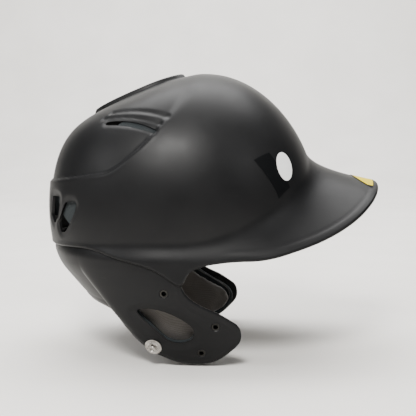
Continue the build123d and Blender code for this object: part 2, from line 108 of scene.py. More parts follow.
# outlines on the dome, as travels (forward, left) from the crown, for the right half only
PANEL_EDGE = [(-188, 0), (-187, -17), (-182, -40), (-171.5, -64), (-156, -84.5), (-138.5, -100),
              (-121, -110.5), (-106, -117), (-89, -117), (-70, -112), (-56, -105), (-42, -94),
              (-28, -80), (-18, -62), (-13, -36), (-12, 0)]
FIN_EDGE = [(-110, 0), (-101, -9), (-87, -15.5), (-65, -18.5), (-44, -15), (-29, -7), (-20, 0)]
LOUVRE = ((-93.0, -70.0), (-50.0, -98.0), 5.4)      # its rear end, front end and width
GROOVES = [((-96.0, -61.0), (-43.0, -93.0), 1.6), ((-88.0, -57.0), (-35.0, -87.0), 1.6)]
LOUVRE_SAG = 1.5
GROOVE_DEPTH = 0.95
VENT_LEAN = [0.0, -0.8, 0.0]  # the vents' walls lean toward the side of the helmet
REAR_VENTS = [
    [(-173, -97), (-159, -111), (-165, -114.5), (-185, -112), (-198, -106), (-205, -97), (-198, -90)],
    [(-189, -62), (-177, -85), (-196, -86), (-209, -76), (-207, -62)],
]
VENT_CORNER_R = 2.2
VENT_LIP = 1.1
BRIM_LABEL_OUTER = 194.6
BRIM_LABEL_HALF = 38.0


def unit(vectors):
    """The same directions at length one."""
    return vectors / np.linalg.norm(vectors, axis=-1, keepdims=True)


def outline_distance(heading, plan):
    """Distance from the crown axis to a plan outline in each heading."""
    front, back, side, front_power, back_power = plan
    near = np.zeros_like(heading)
    far = np.full_like(heading, 260.0)
    for _ in range(40):
        middle = (near + far) / 2
        x = CROWN_X + middle * np.cos(heading) - PLAN_X
        y = np.abs(middle * np.sin(heading))
        reach = np.where(x > 0, front, back)
        power = np.where(x > 0, front_power, back_power)
        inside = (np.abs(x) / reach) ** power + (y / side) ** power < 1
        near = np.where(inside, middle, near)
        far = np.where(inside, far, middle)
    return near


def plan_angle(heading, distance):
    x = CROWN_X + distance * np.cos(heading) - PLAN_X
    return np.arctan2(distance * np.sin(heading), x)


def half_sections(heading, dome_steps=72, skirt_steps=48, run_out=120.0):
    """Crown to edge in each heading: distance, height and travel, one row per heading."""
    heading = heading[:, None]
    reach = outline_distance(heading, DOME_PLAN)
    forward = np.cos(plan_angle(heading, reach))
    ahead = forward > 0
    share = forward * forward
    fullness = 0.03 - np.where(ahead, 0.09, 0.32) * share
    shoulder = np.where(ahead, 0.0, 0.64 * share)

    def dome(polar):
        s2 = np.sin(polar) ** 2
        rise = np.cos(polar) * (1 + fullness * s2 + shoulder * s2 * s2)
        return reach * np.sin(polar), EQUATOR_Z + (CROWN_Z - EQUATOR_Z) * rise

    fold = np.radians(64 + 36 * np.where(ahead, np.sqrt(np.clip(1 - share, 0, 1)) ** 1.25, 1.0))
    r, z = dome(fold * np.linspace(0, 1, dome_steps + 1)[None, :])
    r1, z1 = dome(fold + 0.001)
    leave = unit(np.concatenate([r1 - r[:, -1:], z1 - z[:, -1:]], axis=1))

    edge = outline_distance(heading, EDGE_PLAN)
    forward = np.cos(plan_angle(heading, edge))
    y = np.where(forward > 0, edge * np.sin(heading), EDGE_PLAN[2])
    edge_z = BRIM_TIP_Z - BRIM_DROOP * y * y
    outward = np.maximum(0.0, forward) ** 2
    along = unit(np.concatenate([outward + SKIRT_LEAN, -(BRIM_SLOPE * outward + 1 - outward)], axis=1))
    start = np.concatenate([r[:, -1:], z[:, -1:]], axis=1)
    end = np.concatenate([edge, edge_z], axis=1)
    span = np.linalg.norm(end - start, axis=1, keepdims=True)
    near_handle = start + leave * span * (0.33 - 0.15 * outward)
    far_handle = end - along * span * (0.33 + 0.27 * outward)
    v = np.linspace(0, 1, skirt_steps + 1)[1:][None, :, None]
    skirt = ((1 - v) ** 3 * start[:, None] + 3 * v * (1 - v) ** 2 * near_handle[:, None]
             + 3 * v * v * (1 - v) * far_handle[:, None] + v ** 3 * end[:, None])
    last = end + along * run_out
    r = np.concatenate([r, skirt[:, :, 0], last[:, :1]], axis=1)
    z = np.concatenate([z, skirt[:, :, 1], last[:, 1:]], axis=1)
    steps = np.hypot(np.diff(r, axis=1), np.diff(z, axis=1))
    travel = np.concatenate([np.zeros((len(r), 1)), np.cumsum(steps, axis=1)], axis=1)
    return r, z, travel


def along_section(sections, heading, wanted):
    """Points of the skin at the wanted travels, one row of travels per heading."""
    r, z, travel = sections
    points = np.empty(wanted.shape + (3,))
    for i in range(len(heading)):
        distance = np.interp(wanted[i], travel[i], r[i])
        points[i, :, 0] = CROWN_X + distance * math.cos(heading[i])
        points[i, :, 1] = distance * math.sin(heading[i])
        points[i, :, 2] = np.interp(wanted[i], travel[i], z[i])
    return points


def dome_points(p, q, depth=0.0):
    """Points under the dome skin; p and q are travels forward and left of the crown."""
    p, q = np.broadcast_arrays(np.asarray(p, float), np.asarray(q, float))
    shape = p.shape
    heading = np.arctan2(q, p).ravel()
    travel = np.hypot(p, q).ravel()
    step = 2.0
    turn = 0.02
    here = half_sections(heading)
    wanted = np.stack([travel, travel + step, np.maximum(travel - step, 0)], axis=1)
    middle = along_section(here, heading, wanted)
    left = along_section(half_sections(heading + turn), heading + turn, travel[:, None])[:, 0]
    right = along_section(half_sections(heading - turn), heading - turn, travel[:, None])[:, 0]
    normal = np.cross(middle[:, 1] - middle[:, 2], left - right)
    length = np.linalg.norm(normal, axis=1, keepdims=True)
    normal = np.where(length > 1e-6, normal / np.maximum(length, 1e-6), [0.0, 0.0, 1.0])
    points = middle[:, 0] - normal * depth
    return points.reshape(shape + (3,)), normal.reshape(shape + (3,))


def dome_radius_table():
    """Radius of the dome skin about the widest station, by angle and height."""
    heading = np.radians(np.linspace(0, 180, 361))
    r, z, _ = half_sections(heading)
    heights = np.linspace(FLAP_HOLD_Z, FLAP_TOP_Z + 2, 12)
    angles = np.radians(np.linspace(0, 180, 181))
    table = np.empty((len(angles), len(heights)))
    for k, height in enumerate(heights):
        distance = np.array([np.interp(-height, -z[i], r[i]) for i in range(len(heading))])
        x = CROWN_X + distance * np.cos(heading) - PLAN_X
        y = distance * np.sin(heading)
        table[:, k] = np.interp(angles, np.arctan2(y, x), np.hypot(x, y))
    return angles, heights, table


TABLE_ANGLES, TABLE_HEIGHTS, TABLE = dome_radius_table()


def dome_radius(angle, z):
    a = np.abs(np.arctan2(np.sin(angle), np.cos(angle))) / TABLE_ANGLES[-1] * (len(TABLE_ANGLES) - 1)
    h = (np.clip(z, TABLE_HEIGHTS[0], TABLE_HEIGHTS[-1]) - TABLE_HEIGHTS[0])
    h = h / (TABLE_HEIGHTS[-1] - TABLE_HEIGHTS[0]) * (len(TABLE_HEIGHTS) - 1)
    i = np.clip(a.astype(int), 0, len(TABLE_ANGLES) - 2)
    k = np.clip(h.astype(int), 0, len(TABLE_HEIGHTS) - 2)
    u = a - i
    v = h - k
    return (TABLE[i, k] * (1 - u) * (1 - v) + TABLE[i + 1, k] * u * (1 - v)
            + TABLE[i, k + 1] * (1 - u) * v + TABLE[i + 1, k + 1] * u * v)


def eased(value, width):
    """The value where it is positive, easing to nothing below."""
    return (value + np.hypot(value, width)) / 2


def flap_skin(angle, z):
    """Points of the flap skin by angle about the widest station and height."""
    c = np.cos(angle)
    s = np.abs(np.sin(angle))
    degrees = np.degrees(np.arctan2(s, c))
    r = dome_radius(angle, np.maximum(z, FLAP_HOLD_Z)) - FLAP_INSET
    r = r - FLAP_TAPER * (np.maximum(0.0, FLAP_TAPER_Z - z) / FLAP_TAPER_Z) ** 2 * s * s
    r = r - np.where(c > 0, FLAP_TOE_IN * c * c, NAPE_SLOPE * eased(NAPE_Z - z, NAPE_ROUND) * c * c)
    crease_z = np.minimum(11 + 2.04 * (degrees - 105), 80.0)
    toward_back = np.clip((degrees - 130) / 50, 0.0, 1.0)
    r = r - eased(crease_z - z, CREASE_ROUND) * (BEVEL_SIDE + (BEVEL_BACK - BEVEL_SIDE) * toward_back)
    return np.stack([PLAN_X + r * c, r * np.sin(angle), z], axis=-1)


def flap_points(angle, z, depth=0.0):
    here = flap_skin(angle, z)
    around = flap_skin(angle + 0.02, z) - flap_skin(angle - 0.02, z)
    up = flap_skin(angle, z + 1.5) - flap_skin(angle, z - 1.5)
    normal = unit(np.cross(around, up))
    return here - normal * depth, normal


def flap_angle(x, z):
    """Angle of the right flap skin at places seen from the side."""
    low = np.full(np.shape(x), -math.pi)
    high = np.full(np.shape(x), -math.radians(40))
    for _ in range(40):
        middle = (low + high) / 2
        behind = flap_skin(middle, z)[..., 0] < x
        low = np.where(behind, middle, low)
        high = np.where(behind, high, middle)
    return low


def spaced(points, count, scale=1.0, endpoint=True):
    """Evenly spaced points along a path; scale weighs its columns."""
    steps = np.linalg.norm(np.diff(points * scale, axis=0), axis=1)
    travel = np.concatenate([[0], np.cumsum(steps)])
    wanted = np.linspace(0, travel[-1], count, endpoint=endpoint)
    return np.stack([np.interp(wanted, travel, column) for column in points.T], axis=1)


def smooth_path(points, count, closed=False):
    """Evenly spaced points on a Catmull-Rom curve through the given ones."""
    p = np.asarray(points, float)
    if closed:
        p = np.concatenate([p[-1:], p, p[:2]])
    else:
        p = np.concatenate([2 * p[:1] - p[1:2], p, 2 * p[-1:] - p[-2:-1]])
    t = np.linspace(0, 1, 24, endpoint=False)[:, None]
    dense = []
    for a, b, c, d in zip(p, p[1:], p[2:], p[3:]):
        dense.append(0.5 * (2 * b + (c - a) * t + (2 * a - 5 * b + 4 * c - d) * t ** 2
                            + (3 * b - a - 3 * c + d) * t ** 3))
    return spaced(np.concatenate(dense + [p[-2:-1]]), count, endpoint=not closed)


def line_distance(points, a, b):
    """Distance to the straight line between two places."""
    along = b - a
    t = np.clip(((points - a) @ along) / (along @ along), 0, 1)
    return np.linalg.norm(points - a - t[:, None] * along, axis=1)


def inside_distance(points, outline):
    """Distance to a closed outline, positive inside it."""
    best = np.full(len(points), 1e9)
    inside = np.zeros(len(points), bool)
    x, y = points.T
    for a, b in zip(outline, np.roll(outline, -1, axis=0)):
        best = np.minimum(best, line_distance(points, a, b))
        crosses = (a[1] > y) != (b[1] > y)
        at = a[0] + (y - a[1]) / (b[1] - a[1] if b[1] != a[1] else 1e-9) * (b[0] - a[0])
        inside ^= crosses & (x < at)
    return np.where(inside, best, -best)


def along_ring(points):
    """Direction of a closed ring at each of its points."""
    return np.roll(points, -1, axis=0) - np.roll(points, 1, axis=0)


def step_up(value, width):
    """Zero below -width, one above width, rounded between."""
    t = np.clip((value + width) / (2 * width), 0, 1)
    return t * t * (3 - 2 * t)


def both_sides(outline):
    """A right-hand half outline that starts and ends on the centre line, closed by its mirror."""
    right = smooth_path(outline, 90)
    return np.concatenate([right, (right * [1, -1])[-2:0:-1]])


# ---- mesh helpers
def placed(name, data):
    """New object in the scene over a mesh, a light or a camera."""
    obj = bpy.data.objects.new(name, data)
    bpy.context.scene.collection.objects.link(obj)
    return obj


def mesh_object(name, points, faces):
    """New object from points in millimetres."""
    mesh = bpy.data.meshes.new(name)
    mesh.from_pydata([tuple(v) for v in np.asarray(points) * MM], [], faces)
    mesh.validate()
    mesh.update()
    return placed(name, mesh)


def grid_faces(rows, columns, wrap=False):
    """Quads of a grid of points stored row by row; wrap joins the last row to the first."""
    faces = []
    for i in range(rows if wrap else rows - 1):
        j = (i + 1) % rows
        for k in range(columns - 1):
            faces.append((i * columns + k, j * columns + k, j * columns + k + 1, i * columns + k + 1))
    return faces


def sheet_faces(rows, columns):
    """Both sides of a sheet: a grid of points, then the same grid again for its back."""
    front = grid_faces(rows, columns)
    return front + [tuple(i + rows * columns for i in face[::-1]) for face in front]


def band_faces(first, second):
    """Quads between two closed rings of point numbers."""
    return np.stack([first, np.roll(first, -1), np.roll(second, -1), second], axis=1).tolist()


def grid_border(rows, columns):
    """Row and column of each point on a grid's border, in order round it."""
    loop = [(0, k) for k in range(columns)] + [(i, columns - 1) for i in range(1, rows)]
    loop += [(rows - 1, k) for k in range(columns - 2, -1, -1)]
    loop += [(i, 0) for i in range(rows - 2, 0, -1)]
    return np.array(loop).T


def apply_all(obj):
    """Bake the object's modifiers into its mesh."""
    graph = bpy.context.evaluated_depsgraph_get()
    graph.update()
    baked = bpy.data.meshes.new_from_object(obj.evaluated_get(graph), depsgraph=graph)
    old = obj.data
    obj.modifiers.clear()
    obj.data = baked
    bpy.data.meshes.remove(old)
    return obj


def shade(obj, degrees=35.0):
    obj.data.polygons.foreach_set("use_smooth", [True] * len(obj.data.polygons))
    obj.data.set_sharp_from_angle(angle=math.radians(degrees))
    return obj


def face_outward(obj, weld=True):
    """Turn the faces of a closed mesh outward; weld joins its doubled points first."""
    mesh = bmesh.new()
    mesh.from_mesh(obj.data)
    if weld:
        bmesh.ops.remove_doubles(mesh, verts=mesh.verts, dist=1e-6)
    bmesh.ops.recalc_face_normals(mesh, faces=mesh.faces)
    mesh.to_mesh(obj.data)
    mesh.free()
    return obj


def cut(obj, cutters):
    """Take closed cutters off a piece in one boolean."""
    tool = join(cutters, "cutter")
    boolean = obj.modifiers.new("cut", "BOOLEAN")
    boolean.operation = "DIFFERENCE"
    boolean.solver = "EXACT"
    boolean.use_hole_tolerant = True
    boolean.object = tool
    apply_all(obj)
    bpy.data.objects.remove(tool)
    return obj


def join(objects, name):
    merged = bmesh.new()
    for obj in objects:
        merged.from_mesh(obj.data)
        bpy.data.objects.remove(obj)
    mesh = bpy.data.meshes.new(name)
    merged.to_mesh(mesh)
    merged.free()
    return placed(name, mesh)


def mirrored(obj, name):
    """Copy of a right-hand piece for the left side."""
    copy = placed(name, obj.data.copy())
    copy.data.transform(Matrix.Scale(-1, 4, (0, 1, 0)))
    copy.data.flip_normals()
    return copy


def axes_at(outward, hint):
    """Across, up and outward; across is the hint, squared to outward."""
    outward = unit(np.asarray(outward, float))
    across = unit(np.asarray(hint, float) - outward * np.dot(hint, outward))
    return across, np.cross(outward, across), outward


def prism(outline, centre, axes, low, high, flare=0.0):
    """Closed prism over an outline in its own plane; flare widens its top by a share."""
    across, up, outward = axes
    n = len(outline)
    points = []
    for height, scale in ((low, 1.0), (high, 1.0 + flare)):
        for u, v in outline:
            points.append(centre + across * u * scale + up * v * scale + outward * height)
    faces = [tuple(range(n))[::-1], tuple(range(n, 2 * n))]
    faces += [(i, (i + 1) % n, n + (i + 1) % n, n + i) for i in range(n)]
    return face_outward(mesh_object("prism", points, faces))


def lathe(name, profile, centre, axes, around=48):
    """Turned piece from (radius, height) points; radius zero closes it on its axis."""
    across, up, outward = axes
    points = []
    rings = []
    for radius, height in profile:
        ring = np.arange(around) if radius else np.zeros(around, int)
        rings.append(len(points) + ring)
        for i in range(ring[-1] + 1):
            a = 2 * math.pi * i / around
            points.append(centre + (across * math.cos(a) + up * math.sin(a)) * radius + outward * height)
    faces = []
    for first, second in zip(rings, rings[1:]):
        faces += [tuple(dict.fromkeys(quad)) for quad in band_faces(first, second)]
    faces = [face for face in faces if len(face) > 2]
    return face_outward(mesh_object(name, points, faces))


# ---- outer shell
DOME_HEADINGS = 520
DOME_ROWS = 128


def ridge(gap, width):
    """One on a line and soft to nothing beside it, by the gap to the line."""
    return np.exp(-(gap / width) ** 2)


def panel_relief(points):
    """The recessed rear panel, crisp behind and soft toward the crown, and the fin over it."""
    panel = inside_distance(points, both_sides(PANEL_EDGE))
    toward_crown = np.clip((points[:, 0] + 62) / 46, 0, 1)
    width = 1.3 + 7.5 * toward_crown ** 1.5
    relief = -RECESS_DEPTH * (1 - 0.45 * toward_crown) * step_up(panel, width)
    relief += 0.3 * (1 - toward_crown) * ridge(panel + 2.6, 1.4)
    fin = inside_distance(points, both_sides(FIN_EDGE))
    return relief + (RECESS_DEPTH + FIN_PROUD) * step_up(fin, 1.2) * step_up(panel, 1.6)


def opening_relief(points):
    """Louvre grooves and the sunk lips round the louvre slot and the vents, on both sides."""
    relief = np.zeros(len(points))
    for side in (np.array([1, 1]), np.array([1, -1])):
        for rear, front, width in [LOUVRE] + GROOVES:
            gap = line_distance(points, np.array(rear) * side, np.array(front) * side) - width / 2
            relief -= GROOVE_DEPTH * ridge(np.maximum(gap, 0), 1.6)
        for corners in REAR_VENTS:
            outline = smooth_path(np.array(corners) * side, 60, closed=True)
            gap = np.maximum(-inside_distance(points, outline), 0)
            relief -= VENT_LIP * ridge(gap, 3.0)
    return relief


def rim_bead(edge, groove):
    """Bead and groove that follow an edge, by the distance back from it."""
    return RIM_BEAD * ridge(edge - RIM_BEAD_BACK, 1.3) - groove * ridge(edge - RIM_GROOVE_BACK, 1.2)


def dome_relief(p, q, to_edge, ahead):
    """How far the moulded features stand out of the dome skin, negative inward."""
    points = np.stack([p.ravel(), q.ravel()], axis=1)
    under_label = step_up(BRIM_LABEL_HALF + 4 - np.abs(points[:, 1]), 3.0) * (points[:, 0] > 150)
    on_brim = step_up(ahead.ravel() - 18, 14)
    bead = rim_bead(to_edge.ravel(), 0.22) * on_brim * (1 - under_label)
    return (panel_relief(points) + opening_relief(points) + bead).reshape(p.shape)


def blurred(values, reach):
    """Running mean round a closed ring of values."""
    return sum(np.roll(values, k) for k in range(-reach, reach + 1)) / (2 * reach + 1)


def dome_ends(heading, sections):
    """Travel at which each heading's section reaches the edge of the brim or skirt."""
    low = smooth_path(SKIRT_LOW, 400)
    ends = np.empty(len(heading))
    r, z, travel = sections
    rim = outline_distance(heading, EDGE_PLAN)
    for i, angle in enumerate(heading):
        wanted = np.linspace(120, travel[i, -1], 1600)
        distance = np.interp(wanted, travel[i], r[i])
        height = np.interp(wanted, travel[i], z[i])
        x = CROWN_X + distance * math.cos(angle)
        outside = (height < np.interp(x, low[:, 0], low[:, 1])) & (x <= SIDE_EDGE_FRONT)
        outside |= (distance > rim[i]) & (x > SIDE_EDGE_FRONT)
        ends[i] = wanted[np.argmax(outside)]
    little = blurred(ends, 1)
    much = blurred(blurred(ends, 9), 7)
    ahead = CROWN_X + rim * np.cos(heading)
    return little + (much - little) * step_up(ahead - 30, 12) * (1 - step_up(ahead - 112, 12))


def rim_rows(edge, normal, outward, count=7):
    """Rows of points round the wall's edge, from the outer skin to the inner one."""
    rows = []
    half = WALL / 2
    for i in range(1, count + 1):
        turn = math.pi * i / (count + 1)
        rows.append(edge - normal * half * (1 - math.cos(turn)) + outward * half * math.sin(turn))
    return rows


def make_dome():
    heading = np.linspace(-math.pi, math.pi, DOME_HEADINGS, endpoint=False)
    sections = half_sections(heading)
    ends = dome_ends(heading, sections) - WALL / 2
    rows = np.linspace(0, 1, DOME_ROWS + 1)[1:]
    travel = ends[:, None] * rows[None, :]
    skin = along_section(sections, heading, travel)
    down = along_section(sections, heading, travel + 0.5)
    down -= along_section(sections, heading, travel - 0.5)
    normal = unit(np.cross(down, along_ring(skin)))
    p = travel * np.cos(heading)[:, None]
    q = travel * np.sin(heading)[:, None]
    outer = skin + normal * dome_relief(p, q, ends[:, None] - travel, skin[..., 0])[..., None]
    inner = skin - normal * WALL
    outward = unit(np.cross(normal[:, -1], along_ring(skin[:, -1])))
    outward *= np.sign((outward * down[:, -1]).sum(axis=1, keepdims=True))
    rim = np.stack(rim_rows(skin[:, -1], normal[:, -1], outward), axis=1)
    grid = np.concatenate([outer, rim, inner[:, ::-1]], axis=1)
    columns = grid.shape[1]
    points = grid.reshape(-1, 3)
    crown = len(points)
    points = np.concatenate([points, [[CROWN_X, 0.0, CROWN_Z], [CROWN_X, 0.0, CROWN_Z - WALL]]])
    faces = grid_faces(DOME_HEADINGS, columns, wrap=True)
    for i in range(DOME_HEADINGS):
        j = (i + 1) % DOME_HEADINGS
        faces.append((crown, i * columns, j * columns))
        faces.append((crown + 1, (j + 1) * columns - 1, (i + 1) * columns - 1))
    return face_outward(mesh_object("dome", points, faces))


FLAP_COLUMNS = 230
FLAP_ROWS = 54
FLAP_TOP_FRONT = (-19.0, FLAP_TOP_Z)    # top front corner of the flap skin, (x, z)
ANGLE_WEIGHT = [95.0, 1.0]    # an angle round the flaps counts as this many millimetres


def make_flaps():
    bottom = set_in(smooth_path(FLAP_BOTTOM, 400), -WALL / 2)
    front = set_in(smooth_path(FLAP_FRONT, 160), WALL / 2)
    tip = set_in(smooth_path(FLAP_TIP, FLAP_ROWS), WALL / 2)

    def at_angles(points):
        return np.stack([flap_angle(points[:, 0], points[:, 1]), points[:, 1]], axis=1)

    nape_low = [[-math.pi, bottom[-1, 1]]]
    low = spaced(np.concatenate([at_angles(bottom), nape_low]), FLAP_COLUMNS, ANGLE_WEIGHT)
    over = np.linspace(flap_angle(*np.array([FLAP_TOP_FRONT]).T)[0], -math.pi, 200)
    high = np.concatenate([at_angles(front), np.stack([over, np.full(200, FLAP_TOP_Z)], axis=1)])
    high = spaced(high, FLAP_COLUMNS, ANGLE_WEIGHT)
    first = at_angles(tip)
    last = np.linspace(low[-1], high[-1], FLAP_ROWS)
    s = np.linspace(0, 1, FLAP_COLUMNS)[:, None, None]
    t = np.linspace(0, 1, FLAP_ROWS)[None, :, None]
    patch = ((1 - t) * low[:, None] + t * high[:, None] + (1 - s) * first[None] + s * last[None]
             - (1 - s) * (1 - t) * low[0] - s * (1 - t) * low[-1] - (1 - s) * t * high[0] - s * t * high[-1])
    skin, normal = flap_points(patch[..., 0], patch[..., 1])
    seen = skin[..., [0, 2]].reshape(-1, 2)
    dish = inside_distance(seen, smooth_path(EAR_DISH, 80, closed=True))
    far_round = [[-170.0, 36.0], [-170.0, 200.0], [-20.0, 200.0]]
    border = np.concatenate([front[::-1][:-1], tip[::-1][:-1], bottom, far_round])
    relief = rim_bead(np.abs(inside_distance(seen, border)), 0.2)
    relief -= EAR_DISH_DEPTH * step_up(dish, EAR_DISH_EASE)
    outer = skin + normal * relief.reshape(skin.shape[:2] + (1,))
    inner = skin - normal * WALL
    halves = (outer, inner, skin, normal)
    whole = [np.concatenate([half, (half * [1.0, -1.0, 1.0])[-2::-1]]) for half in halves]
    return closed_wall("flaps", *whole)


def closed_wall(name, outer, inner, skin, normal):
    """Closed wall over an open grid: outer skin, inner skin and a rounded edge all round."""
    rows, columns = skin.shape[:2]
    i, k = grid_border(rows, columns)
    edge = skin[i, k]
    up = normal[i, k]
    outward = unit(np.cross(along_ring(edge), up))
    within = skin[np.clip(i, 1, rows - 2), np.clip(k, 1, columns - 2)]
    outward *= np.sign(((edge - within) * outward).sum(axis=1, keepdims=True))
    rim = rim_rows(edge, up, outward)
    n = rows * columns
    points = np.concatenate([outer.reshape(-1, 3), inner.reshape(-1, 3)] + rim)
    faces = sheet_faces(rows, columns)
    ids = i * columns + k
    rings = [ids] + [2 * n + r * len(ids) + np.arange(len(ids)) for r in range(len(rim))] + [ids + n]
    for first, second in zip(rings, rings[1:]):
        faces += band_faces(first, second)
    return face_outward(mesh_object(name, points, faces))


def rounded_corners(corners, radius, steps=5):
    """A polygon with each corner replaced by a small arc."""
    points = []
    for before, here, after in zip(np.roll(corners, 1, axis=0), corners, np.roll(corners, -1, axis=0)):
        a = here + unit(before - here) * radius
        b = here + unit(after - here) * radius
        for t in np.linspace(0, 1, steps):
            points.append((1 - t) ** 2 * a + 2 * t * (1 - t) * here + t * t * b)
    return np.array(points)


def set_in(path, by):
    """A path seen from the side, moved across its own direction."""
    ahead = unit(np.gradient(path, axis=0))
    return path + np.stack([-ahead[:, 1], ahead[:, 0]], axis=1) * by


def louvre_cutter():
    """The long slot beside the rear panel, a little bent and narrower toward its ends."""
    rear, front, width = LOUVRE
    ends, _ = dome_points(np.array([rear[0], front[0]]), np.array([rear[1], front[1]]))
    centre, outward = dome_points((rear[0] + front[0]) / 2, (rear[1] + front[1]) / 2)
    half = np.linalg.norm(ends[1] - ends[0]) / 2
    along = np.linspace(-half, half, 25)
    spine = np.stack([along, -LOUVRE_SAG * (along / half) ** 2], axis=1)
    reach = width / 2 * (0.55 + 0.45 * np.sin(np.linspace(0.35, math.pi - 0.35, 25)))
    aside = np.stack([np.zeros(25), reach], axis=1)
    cap = np.linspace(-math.pi / 2, math.pi / 2, 9)[1:-1]
    arc = np.stack([np.cos(cap), np.sin(cap)], axis=1) * reach[-1]
    outline = np.concatenate([spine - aside, spine[-1] + arc, (spine + aside)[::-1], spine[0] - arc])
    return prism(outline, centre, axes_at(outward, ends[1] - ends[0]), -12, 8, 0.02)


def vent_cutter(corners):
    """Straight-walled cutter through the dome over one rear vent."""
    p, q = np.array(corners, float).T
    centre, outward = dome_points(p.mean(), q.mean())
    outward = outward + VENT_LEAN
    axes = axes_at(outward, np.cross([0, 0, 1], outward))
    away = dome_points(p, q)[0] - centre
    flat = np.stack([away @ axes[0], away @ axes[1]], axis=1)
    return prism(rounded_corners(flat, VENT_CORNER_R), centre, axes, -12, 10, 0.10)


def turned_on_flap(name, at, profile, around):
    """Turned piece square to the right flap's skin, at a place (x, z) seen from the side."""
    x, z = np.array([at]).T
    point, outward = flap_points(flap_angle(x, z), z)
    return lathe(name, profile, point[0], axes_at(outward[0], [0, 0, 1]), around)


def ear_cutters():
    """The ear hole, and the stepped bores for the nuts and the press stud."""
    outline = smooth_path(EAR_HOLE, 90, closed=True)
    axes = (np.array([1.0, 0, 0]), np.array([0, 0, 1.0]), np.array([0, -1.0, 0]))
    cutters = [prism(outline, np.array([0, -60.0, 0]), axes, 0, 60)]
    flange = NUT_FLANGE_R + BORE_EASE
    rivet = SNAP_RIVET_R + BORE_EASE
    nut_bore = [(0, -12), (flange, -12), (flange, NUT_SEAT), (HOLE_R, NUT_SEAT), (HOLE_R, -0.7),
                (HOLE_R + 0.9, 0.2), (HOLE_R + 0.9, 6), (0, 6)]
    snap_bore = [(0, -12), (rivet, -12), (rivet, SNAP_BACK), (SNAP_HOLE_R, SNAP_BACK),
                 (SNAP_HOLE_R, -SNAP_SUNK), (SNAP_CAP_R + 0.4, -SNAP_SUNK), (SNAP_CAP_R + 0.9, 0.4),
                 (SNAP_CAP_R + 0.9, 8), (0, 8)]
    cutters += [turned_on_flap("bore", at, nut_bore, 40) for at in FACEGUARD_HOLES]
    cutters.append(turned_on_flap("bore", SNAP_AT, snap_bore, 48))
    return cutters


def cut_both_sides(obj, cutters):
    """Take the right-hand cutters and their mirrors off a piece."""
    return cut(obj, cutters + [mirrored(cutter, "cutter") for cutter in cutters])


def make_shell():
    windows = [louvre_cutter()] + [vent_cutter(corners) for corners in REAR_VENTS]
    dome = cut_both_sides(make_dome(), windows)
    flaps = cut_both_sides(make_flaps(), ear_cutters())
    shell = shade(join([dome, flaps], "moulded_shell"), 38)
    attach(shell, "root")
    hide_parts("outer_shell")
    return shell


# ---- padding
def remeshed_copy(node, name, voxel, shrink):
    """Evenly meshed copy of a CAD solid, a little smaller all round."""
    obj = face_outward(placed(name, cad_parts[node].data.copy()))
    remesh = obj.modifiers.new("even", "REMESH")
    remesh.mode = "VOXEL"
    remesh.voxel_size = voxel * MM
    apply_all(obj)
    if shrink:
        pull = obj.modifiers.new("shrink", "DISPLACE")
        pull.strength = -shrink * MM
        pull.mid_level = 0
        apply_all(obj)
    return obj


def rounded(obj, times, factor=0.5):
    smooth = obj.modifiers.new("round", "SMOOTH")
    smooth.iterations = times
    smooth.factor = factor
    return apply_all(obj)


def subdivided(obj):
    fine = obj.modifiers.new("fine", "SUBSURF")
    fine.levels = 1
    fine.render_levels = 1
    return apply_all(obj)


FOAM_NODES = [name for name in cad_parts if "_foam" in name]
COMFORT_NODES = [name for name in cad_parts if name.endswith("_pad") or "comfort" in name]
SWELL_FRAMES = 20
SWELL_LIMIT = 1.6


def make_foams():
    foams = []
    for node in FOAM_NODES:
        foam = rounded(remeshed_copy(node, node + "_block", 1.7, 0.0), 4)
        shade(foam, 60)
        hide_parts(node)
        foams.append(foam)
    return foams


def swell(pads):
    """Blow the covers up like sewn pads, all in one run, and keep how far they may go."""
    starts = []
    for pad in pads:
        starts.append(np.array([v.co for v in pad.data.vertices]))
        cloth = pad.modifiers.new("cloth", "CLOTH")
        cloth.settings.quality = 5
        cloth.settings.mass = 0.3
        cloth.settings.tension_stiffness = 20
        cloth.settings.compression_stiffness = 20
        cloth.settings.bending_stiffness = 0.6
        cloth.settings.use_pressure = True
        cloth.settings.uniform_pressure_force = 4
        cloth.settings.effector_weights.gravity = 0
        cloth.collision_settings.use_collision = False
    scene = bpy.context.scene
    for number in range(1, SWELL_FRAMES + 1):
        scene.frame_set(number)
    graph = bpy.context.evaluated_depsgraph_get()
    for pad, start in zip(pads, starts):
        shaped = pad.evaluated_get(graph).to_mesh()
        moved = np.array([v.co for v in shaped.vertices]) - start
        pad.evaluated_get(graph).to_mesh_clear()
        far = np.linalg.norm(moved, axis=1, keepdims=True)
        moved *= np.minimum(1.0, SWELL_LIMIT * MM / np.maximum(far, 1e-9))
        pad.modifiers.clear()
        pad.data.vertices.foreach_set("co", (start + moved).ravel())
        pad.data.update()
    scene.frame_set(1)


def make_comfort_pads():
    pads = [rounded(remeshed_copy(node, node + "_cover", 2.6, 0.5), 3) for node in COMFORT_NODES]
    swell(pads)
    for pad, node in zip(pads, COMFORT_NODES):
        subdivided(pad)
        shade(pad, 80)
        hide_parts(node)
    return pads


def closed_cord(name, path, radius, sides=8):
    """Thin round cord of mesh along a closed path."""
    ahead = unit(along_ring(path))
    across = unit(np.cross(ahead, [0.31, 0.17, 0.93]))
    up = np.cross(across, ahead)
    a = np.linspace(0, 2 * math.pi, sides, endpoint=False)
    ring = across[:, None] * np.cos(a)[None, :, None] + up[:, None] * np.sin(a)[None, :, None]
    points = (path[:, None] + ring * radius).reshape(-1, 3)
    rings = np.arange(len(points)).reshape(-1, sides)
    faces = []
    for here, following in zip(rings, np.roll(rings, -1, axis=0)):
        faces += band_faces(following, here)
    return shade(face_outward(mesh_object(name, points, faces)), 60)


